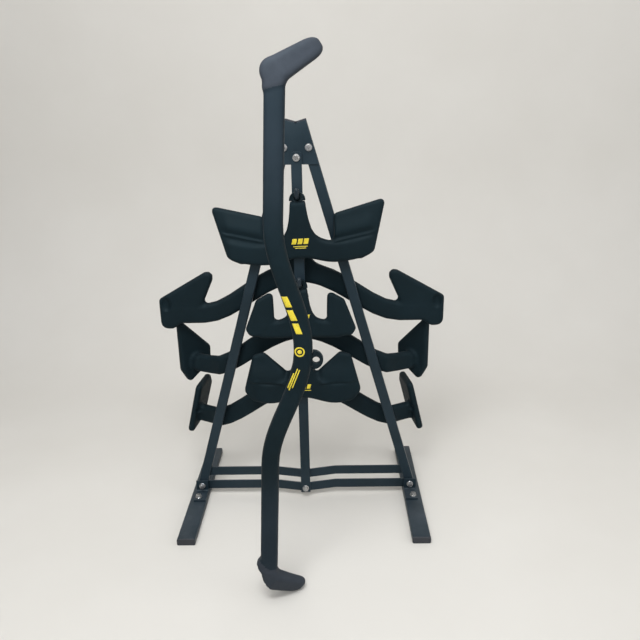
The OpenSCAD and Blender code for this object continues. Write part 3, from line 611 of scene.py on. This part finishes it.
def make_edge_scuff():
    """Proud edges rubbed paler, broken up so that only stretches of an edge show it."""
    tree, gin, gout = node_group("edge_scuff",
        [("Vector", "NodeSocketVector", (0, 0, 0)), ("Amount", "NodeSocketFloat", 0.35)],
        [("Mask", "NodeSocketFloat")])
    geo = tree.nodes.new("ShaderNodeNewGeometry")
    proud = remap(tree, geo.outputs["Pointiness"], 0.52, 0.60)
    broken = remap(tree, noise(tree, gin.outputs["Vector"], 45.0, detail=5.0, rough=0.65), 0.45, 0.7)
    scuff = calc(tree, "MULTIPLY", proud, broken)
    tree.links.new(calc(tree, "MULTIPLY", scuff, gin.outputs["Amount"]), gout.inputs["Mask"])
    return tree


moulded_skin = make_moulded_skin()
edge_scuff = make_edge_scuff()

bar_middle = Vector((-0.040, 0.0, 0.5683))
pale_from, pale_full = 0.20, 0.37      # up or down the bar from its middle


def rubber_material(name, dark, light, grain, end_paling=0.0):
    """Moulded rubber; the last value is the share by which the long bar turns paler toward both of its ends.
    """
    dust_and_light_grey = (0.17, 0.19, 0.21, 1)
    scuff_grey = (0.028, 0.038, 0.045, 1)
    end_pale_grey = (0.030, 0.041, 0.057, 1)
    mat, tree, shader, where = blank_material(name)
    skin = place_group(tree, moulded_skin, where, Grain_Scale=grain, Dark=dark, Light=light,
        Gloss_Low=0.58, Gloss_High=0.74)
    # A faint pale film on upward faces: dust, and painted light from above.
    dust_and_light = place_group(tree, dust_and_top_light, where, Patch_Scale=16.0, Amount=0.05)
    scuff = place_group(tree, edge_scuff, where, Amount=0.35)
    colour = skin.outputs["Color"]
    # The long bar is made paler toward both of its ends, in soft patches.
    if end_paling > 0:
        split = tree.nodes.new("ShaderNodeSeparateXYZ")
        tree.links.new(where, split.inputs["Vector"])
        away = calc(tree, "ABSOLUTE", calc(tree, "SUBTRACT", split.outputs["Z"], bar_middle.z), 0.0)
        patch = remap(tree, noise(tree, where, 18.0, detail=4.0, rough=0.6), 0.3, 0.7, 0.75, 1.0)
        rubbed = calc(tree, "MULTIPLY", remap(tree, away, pale_from, pale_full, 0.0, end_paling), patch)
        colour = tint(tree, rubbed, colour, end_pale_grey)
    worn = tint(tree, scuff.outputs["Mask"], colour, scuff_grey)
    tree.links.new(tint(tree, dust_and_light.outputs["Mask"], worn, dust_and_light_grey), shader.inputs["Base Color"])
    dulled = calc(tree, "MULTIPLY", dust_and_light.outputs["Mask"], 0.2)
    tree.links.new(calc(tree, "ADD", skin.outputs["Roughness"], dulled), shader.inputs["Roughness"])
    shader.inputs["Specular IOR Level"].default_value = 0.20
    shader.inputs["Specular Tint"].default_value = (0.70, 0.92, 1.0, 1)
    bump_to(tree, shader, skin.outputs["Height"], distance=0.00025, strength=0.45)
    return mat


rubber_dark = (0.0013, 0.0056, 0.0082, 1)
rubber_light = (0.0036, 0.0104, 0.0146, 1)
grip_rubber = rubber_material("grip_rubber", rubber_dark, rubber_light, grain=520.0)
bar_rubber = rubber_material("bar_rubber", rubber_dark, rubber_light, grain=520.0, end_paling=0.38)
sleeve_rubber = rubber_material("sleeve_rubber", (0.0250, 0.0295, 0.0380, 1), (0.0360, 0.0415, 0.0525, 1),
    grain=380.0)


def voxel_skin(mesh, size):
    """The mesh drawn again as an even skin of small faces."""
    holder = bpy.data.objects.new("blank", mesh)
    bpy.context.scene.collection.objects.link(holder)
    remesh = holder.modifiers.new("even_skin", "REMESH")
    remesh.mode = "VOXEL"
    remesh.voxel_size = size
    remesh.adaptivity = 0.0
    fresh = plain_mesh(holder)
    bpy.data.objects.remove(holder)
    return fresh


def skin_points(mesh):
    """Places and normals of a mesh's points, with a row for each point."""
    n = len(mesh.vertices)
    co = np.empty(n * 3)
    no = np.empty(n * 3)
    mesh.vertices.foreach_get("co", co)
    mesh.vertex_normals.foreach_get("vector", no)
    return co.reshape(n, 3), no.reshape(n, 3)


def put_points(mesh, co):
    """The mesh's points moved to new places."""
    mesh.vertices.foreach_set("co", co.ravel())
    mesh.update()


def push_out(mesh, amount):
    """Every point moved along its normal."""
    co, no = skin_points(mesh)
    put_points(mesh, co + no * amount)


ease_gains = (0.55, -0.565)      # in, then out a little further, so that nothing shrinks


def relax(mesh, rounds):
    """Evens out facets and steps without shrinking the shape."""
    n = len(mesh.vertices)
    co, _ = skin_points(mesh)
    ends = np.empty(len(mesh.edges) * 2, dtype=np.int32)
    mesh.edges.foreach_get("vertices", ends)
    a, b = ends[0::2], ends[1::2]
    count = np.bincount(ends, minlength=n).astype(float)[:, None]
    for _ in range(rounds):
        for gain in ease_gains:
            mean = np.empty_like(co)
            for d in range(3):
                mean[:, d] = np.bincount(a, co[b, d], n) + np.bincount(b, co[a, d], n)
            co = co + gain * (mean / count - co)
    put_points(mesh, co)


cover_fillet = 0.0045
sleeve_fillet = 0.0015
skin_step = 0.0026
ease_rounds = 14


def moulded_cover(node, name, body, fillet):
    """A cover: the solid's form with every inside corner filled to a fillet and its facets eased."""
    blank = merged_copy(node, name)
    first = voxel_skin(blank.data, skin_step)
    bpy.data.objects.remove(blank)
    push_out(first, fillet)
    second = voxel_skin(first, skin_step)
    push_out(second, -fillet)
    relax(second, ease_rounds)
    second.name = name
    second.materials.clear()
    second.materials.append(grip_rubber)
    second.polygons.foreach_set("use_smooth", [True] * len(second.polygons))
    piece = bpy.data.objects.new(name, second)
    bpy.context.scene.collection.objects.link(piece)
    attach(piece, body)
    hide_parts(node)
    return piece


covers = {}
for grip in grips:
    covers[grip] = moulded_cover(grip + "_cover", grip + "_moulding", grip + "_grip", cover_fillet)
covers["long"] = moulded_cover("long_grip_cover", "long_moulding", "long_grip", sleeve_fillet)

bar_lean = math.radians(3.0)
bar_axis = Vector((math.sin(bar_lean), 0.0, math.cos(bar_lean)))
bar_across = Vector((math.cos(bar_lean), 0.0, -math.sin(bar_lean)))
upper_start, upper_slant = 0.4845, 0.3
lower_start, lower_slant = 0.4785, 0.9


def sleeve_faces(mesh):
    """The two handles of the long grip take the softer sleeve rubber, from the shoulder to the tip."""
    mesh.materials[0] = bar_rubber
    mesh.materials.append(sleeve_rubber)
    for face in mesh.polygons:
        out = face.center - bar_middle
        along, across = out.dot(bar_axis), out.dot(bar_across)
        upper = along > upper_start + upper_slant * across
        lower = -along > lower_start + lower_slant * min(across, 0.0)
        if upper or lower:
            face.material_index = 1


def smooth_step(low, high, value):
    """0 below low, 1 above high and an eased ramp between them."""
    t = np.clip((value - low) / (high - low), 0, 1)
    return t * t * (3 - 2 * t)


heel_heights = (0.018, 0.034, 0.050, 0.065, 0.085, 0.098, 0.112)
heel_inward = (0.0, 0.008, 0.0145, 0.0105, -0.0010, -0.0090, 0.0)
heel_from, heel_full = 0.060, 0.080      # to the left of the rack's middle
heel_rounds = 3


def shape_heel(mesh):
    """The lower sleeve ends in a lip behind the bar, and its heel is cut off at a slant below that."""
    co, _ = skin_points(mesh)
    share = smooth_step(heel_from, heel_full, -co[:, 0])
    co[:, 0] += np.interp(co[:, 2], heel_heights, heel_inward) * share
    put_points(mesh, co)
    relax(mesh, heel_rounds)


shape_heel(covers["long"].data)
sleeve_faces(covers["long"].data)


faces_front = 0.7      # how far a normal turns to the front where a point counts as on the front


def press_dimple(mesh, x, z, half_wide, half_high, depth):
    """A shallow oval hollow left by an ejector pin on the front of a cover, the same on both sides."""
    co, no = skin_points(mesh)
    front = no[:, 1] < -faces_front
    away = ((np.abs(co[:, 0]) - x) / half_wide) ** 2 + ((co[:, 2] - z) / half_high) ** 2
    co[:, 1] += np.where(front, depth * np.clip(1 - away ** 2, 0, 1), 0.0)
    put_points(mesh, co)


fill_from, fill_full = -0.009, -0.001      # height from the fold at which the face comes forward
lean_from, lean_full = 0.006, 0.055        # height above the fold over which it leans back again
ledge, hollow = 0.0022, 0.010              # reach of the undercut below and above the fold
inner_fade = (-0.010, 0.004)               # from the fold's inner end, where it begins
outer_fade = (-0.005, 0.020)               # from the fold's outer end, where it runs out


def swell_paddles(mesh, inner, outer, forward, undercut):
    """Brings both paddles' faces level with the arm at a fold from inner to outer, each an x and z.

    The face leans back to its own shape toward the top, and is undercut just above the fold.
    """
    co, no = skin_points(mesh)
    x = np.abs(co[:, 0])
    slope = (outer[1] - inner[1]) / (outer[0] - inner[0])
    above = (co[:, 2] - inner[1] - slope * (x - inner[0])) / math.hypot(1.0, slope)
    front = np.clip(-no[:, 1] / faces_front, 0, 1)
    inside = smooth_step(inner[0] + inner_fade[0], inner[0] + inner_fade[1], x)
    outside = smooth_step(outer[0] + outer_fade[0], outer[0] + outer_fade[1], x)
    lean = smooth_step(lean_from, lean_full, above)
    face = forward * smooth_step(fill_from, fill_full, above) * (1 - lean)
    fold = undercut * np.exp(-(above / np.where(above < 0, ledge, hollow)) ** 2)
    co[:, 1] += front * (inside * (1 - outside)) * (fold - face)
    put_points(mesh, co)


swell_paddles(covers["top_close"].data, inner=(0.0865, 0.7205), outer=(0.1665, 0.7380),
    forward=0.0065, undercut=0.0060)
swell_paddles(covers["low_close"].data, inner=(0.0500, 0.3570), outer=(0.1250, 0.3610),
    forward=0.0065, undercut=0.0)
press_dimple(covers["high_medium"].data, x=0.342, z=0.548, half_wide=0.012, half_high=0.019, depth=0.0065)
press_dimple(covers["low_medium"].data, x=0.2905, z=0.2350, half_wide=0.0075, half_high=0.0085, depth=0.0045)


# Printed marks
# Plain yellow bars and rings are pad-printed on the front of the grips as sighting marks. The ink lies
# a few hundredths proud of the rubber and is thin enough for the grain to show.

def pad_ink(name):
    """Yellow printing ink that the rubber's grain breaks through."""
    mat, tree, shader, where = blank_material(name)
    cover = remap(tree, noise(tree, where, 700.0, detail=3.0, rough=0.6), 0.30, 0.42)
    patch = noise(tree, where, 90.0, detail=3.0)
    share = remap(tree, patch, 0.3, 0.7)
    ink = tint(tree, share, (0.62, 0.49, 0.022, 1), (0.74, 0.60, 0.040, 1))
    thin_ink = (0.20, 0.18, 0.04, 1)
    tree.links.new(tint(tree, cover, thin_ink, ink), shader.inputs["Base Color"])
    tree.links.new(remap(tree, patch, 0.3, 0.7, 0.42, 0.56), shader.inputs["Roughness"])
    bump_to(tree, shader, noise(tree, where, 520.0, detail=2.0), distance=0.0001, strength=0.3)
    return mat


mark_yellow = pad_ink("mark_yellow")
ink_step = 0.0015
ink_proud = 0.00025
ray_start = -2.0


def bar_shape(length, width, slant=0.0):
    """A printed bar lying along its first axis, as a fine grid."""
    m = max(3, round(length / ink_step))
    n = max(2, round(width / ink_step))
    pts = [((i / m - 0.5) * length + slant * (j / n - 0.5) * width, (j / n - 0.5) * width)
        for i in range(m + 1) for j in range(n + 1)]
    faces = [(i * (n + 1) + j, (i + 1) * (n + 1) + j, (i + 1) * (n + 1) + j + 1, i * (n + 1) + j + 1)
        for i in range(m) for j in range(n)]
    return pts, faces


def ring_shape(outer, inner, sides=40, rows=3):
    """A printed ring, or a disc where inner is nearly nought."""
    pts = [((outer + (inner - outer) * r / rows) * math.cos(2 * math.pi * k / sides),
        (outer + (inner - outer) * r / rows) * math.sin(2 * math.pi * k / sides))
        for r in range(rows + 1) for k in range(sides)]
    steps = [(k, (k + 1) % sides) for k in range(sides)]
    faces = [(r * sides + a, r * sides + b, (r + 1) * sides + b, (r + 1) * sides + a)
        for r in range(rows) for a, b in steps]
    return pts, faces


def print_marks(name, grip, body, marks):
    """Marks laid on a cover's front: each is a shape, its centre in x and z, and its turn in degrees."""
    target = covers[grip].data
    tree = BVHTree.FromPolygons([v.co for v in target.vertices], [p.vertices for p in target.polygons])
    verts, faces = [], []
    for (pts, quads), x, z, turn in marks:
        c, s = math.cos(math.radians(turn)), math.sin(math.radians(turn))
        start = len(verts)
        for u, v in pts:
            px, pz = x + u * c - v * s, z + u * s + v * c
            hit, normal, _, _ = tree.ray_cast(Vector((px, ray_start, pz)), Vector((0, 1, 0)))
            verts.append(hit + normal * ink_proud)
        faces += [[start + k for k in q] for q in quads]
    mesh = bpy.data.meshes.new(name)
    mesh.from_pydata(verts, [], faces)
    bm = bmesh.new()
    bm.from_mesh(mesh)
    for f in bm.faces:
        if f.normal.y > 0:
            f.normal_flip()
    bm.to_mesh(mesh)
    bm.free()
    mesh.materials.append(mark_yellow)
    mesh.polygons.foreach_set("use_smooth", [True] * len(mesh.polygons))
    piece = bpy.data.objects.new(name, mesh)
    bpy.context.scene.collection.objects.link(piece)
    thick = piece.modifiers.new("ink_film", "SOLIDIFY")
    thick.thickness = 2 * ink_proud
    thick.offset = -1.0
    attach(piece, body)


long_bar = bar_shape(0.022, 0.011, 0.35)
print_marks("long_grip_marks", "long", "long_grip", [
    (long_bar, -0.0065, 0.6830, -68.0),
    (long_bar, 0.0025, 0.6570, -68.0),
    (long_bar, 0.0115, 0.6310, -71.0),
    (ring_shape(0.0098, 0.0070), 0.0146, 0.5850, 0.0),
    (ring_shape(0.0042, 0.0002), 0.0146, 0.5850, 0.0),
    (bar_shape(0.040, 0.0022), 0.0060, 0.5300, 68.0),
    (bar_shape(0.048, 0.0022), 0.0010, 0.5290, 68.0),
    (bar_shape(0.034, 0.0022), -0.0040, 0.5260, 68.0)])
top_bar = bar_shape(0.011, 0.013, 0.25)
print_marks("top_grip_marks", "top_close", "top_close_grip", [
    (top_bar, -0.0090, 0.7175, 2.0),
    (top_bar, 0.0050, 0.7180, 2.0),
    (top_bar, 0.0190, 0.7185, 2.0),
    (bar_shape(0.034, 0.0018), 0.0053, 0.7060, 2.0),
    (bar_shape(0.026, 0.0018), 0.0055, 0.7020, 2.0)])
mid_bar = bar_shape(0.007, 0.010, 0.25)
print_marks("mid_grip_marks", "mid_close", "mid_close_grip", [
    (mid_bar, 0.0090, 0.5320, 0.0),
    (mid_bar, 0.0185, 0.5320, 0.0)])
low_bar = bar_shape(0.009, 0.012, 0.25)
print_marks("low_grip_marks", "low_close", "low_close_grip", [
    (low_bar, 0.0050, 0.3455, 0.0),
    (low_bar, 0.0165, 0.3455, 0.0),
    (bar_shape(0.022, 0.0018), 0.0110, 0.3350, 0.0)])


# Floor, light and camera
# A pale seamless paper sweep hangs behind the rack and runs out under it. Broad soft lamps light both
# from above, the front and the right, and the camera stands where the photograph was taken.

def sweep_material(name):
    """Matte warm paper, clear when seen from behind."""
    mat, tree, shader, where = blank_material(name)
    grain = noise(tree, where, 3.0, detail=4.0)
    tree.links.new(tint(tree, grain, (0.655, 0.632, 0.585, 1), (0.715, 0.695, 0.652, 1)),
        shader.inputs["Base Color"])
    shader.inputs["Roughness"].default_value = 0.85
    shader.inputs["Specular IOR Level"].default_value = 0.2
    side = tree.nodes.new("ShaderNodeMixShader")
    tree.links.new(tree.nodes.new("ShaderNodeNewGeometry").outputs["Backfacing"], side.inputs[0])
    tree.links.new(shader.outputs[0], side.inputs[1])
    tree.links.new(tree.nodes.new("ShaderNodeBsdfTransparent").outputs[0], side.inputs[2])
    tree.links.new(side.outputs[0], tree.nodes["Material Output"].inputs["Surface"])
    return mat


def paper_sweep():
    """Floor and back wall in one sheet with a wide bend between them."""
    front, back, bend, height, half = -5.0, 1.5, 0.8, 4.5, 5.0
    path = [(front, 0.0), (back - bend, 0.0)]
    path += [(back - bend + bend * math.sin(math.radians(a)), bend - bend * math.cos(math.radians(a)))
        for a in range(6, 91, 6)]
    path += [(back, height)]
    verts = [(x, y, z) for y, z in path for x in (-half, half)]
    faces = [(2 * k, 2 * k + 1, 2 * k + 3, 2 * k + 2) for k in range(len(path) - 1)]
    mesh = bpy.data.meshes.new("paper_sweep")
    mesh.from_pydata(verts, [], faces)
    mesh.materials.append(sweep_material("sweep_paper"))
    mesh.polygons.foreach_set("use_smooth", [True] * len(mesh.polygons))
    obj = bpy.data.objects.new("paper_sweep", mesh)
    bpy.context.scene.collection.objects.link(obj)


paper_sweep()


def soft_lamp(name, place, aim, size, power, colour):
    """A soft rectangular lamp turned to a point and kept out of the picture."""
    data = bpy.data.lights.new(name, "AREA")
    data.shape = "RECTANGLE"
    data.size, data.size_y = size
    data.energy = power
    data.color = colour
    lamp = bpy.data.objects.new(name, data)
    lamp.location = place
    lamp.rotation_euler = (Vector(aim) - Vector(place)).to_track_quat("-Z", "Y").to_euler()
    lamp.visible_camera = False
    bpy.context.scene.collection.objects.link(lamp)


soft_lamp("top_bank", (0.0, -0.9, 3.2), aim=(0.0, 0.0, 0.4),
    size=(3.0, 2.4), power=36.0, colour=(1.0, 0.99, 0.97))
soft_lamp("front_fill", (-0.6, -2.9, 2.3), aim=(0.0, 0.0, 0.7),
    size=(2.2, 1.5), power=30.0, colour=(0.97, 0.98, 1.0))
soft_lamp("near_bank", (-0.15, -0.90, 1.60), aim=(-0.02, -0.25, 0.95),
    size=(0.6, 0.4), power=12.0, colour=(0.96, 0.98, 1.0))
soft_lamp("wall_wash", (0.0, 0.5, 3.4), aim=(0.0, 1.5, 1.0),
    size=(3.0, 0.8), power=10.0, colour=(0.98, 0.99, 1.0))
soft_lamp("right_fill", (2.6, -1.2, 1.4), aim=(0.0, 0.1, 0.5),
    size=(1.6, 2.2), power=18.0, colour=(0.97, 0.985, 1.0))

world = bpy.data.worlds.new("pale_room")
world.use_nodes = True
bpy.context.scene.world = world
room = world.node_tree
sky = room.nodes["Background"]
sky.inputs["Color"].default_value = (0.93, 0.95, 1.0, 1)
sky.inputs["Strength"].default_value = 0.34
backdrop = room.nodes.new("ShaderNodeBackground")
backdrop.inputs["Color"].default_value = (0.50, 0.49, 0.475, 1)
path = room.nodes.new("ShaderNodeLightPath")
mirrored = calc(room, "MAXIMUM", path.outputs["Is Glossy Ray"], path.outputs["Is Transmission Ray"])
seen = room.nodes.new("ShaderNodeMixShader")
room.links.new(calc(room, "MAXIMUM", path.outputs["Is Camera Ray"], mirrored), seen.inputs[0])
room.links.new(sky.outputs[0], seen.inputs[1])
room.links.new(backdrop.outputs[0], seen.inputs[2])
room.links.new(seen.outputs[0], room.nodes["World Output"].inputs["Surface"])

camera_place = (0.0721, -1.4365, 1.0281)
pitch, yaw, roll = math.radians(18.763), -0.0163, 0.0192
focal_pixels, picture_pixels, film_width = 643.39, 640.0, 36.0
ahead = Vector((math.sin(yaw) * math.cos(pitch), math.cos(yaw) * math.cos(pitch), -math.sin(pitch)))
level = Vector((math.cos(yaw), -math.sin(yaw), 0.0))
plumb = ahead.cross(level)
right = math.cos(roll) * level + math.sin(roll) * plumb
down = math.cos(roll) * plumb - math.sin(roll) * level
lens = bpy.data.cameras.new("photo_camera")
lens.sensor_width = film_width
lens.lens = film_width * focal_pixels / picture_pixels
camera = bpy.data.objects.new("photo_camera", lens)
camera.matrix_world = Matrix.Translation(camera_place) @ Matrix((
    (right.x, -down.x, -ahead.x, 0), (right.y, -down.y, -ahead.y, 0),
    (right.z, -down.z, -ahead.z, 0), (0, 0, 0, 1)))
bpy.context.scene.collection.objects.link(camera)
bpy.context.scene.camera = camera

bpy.context.scene.view_settings.view_transform = "Standard"
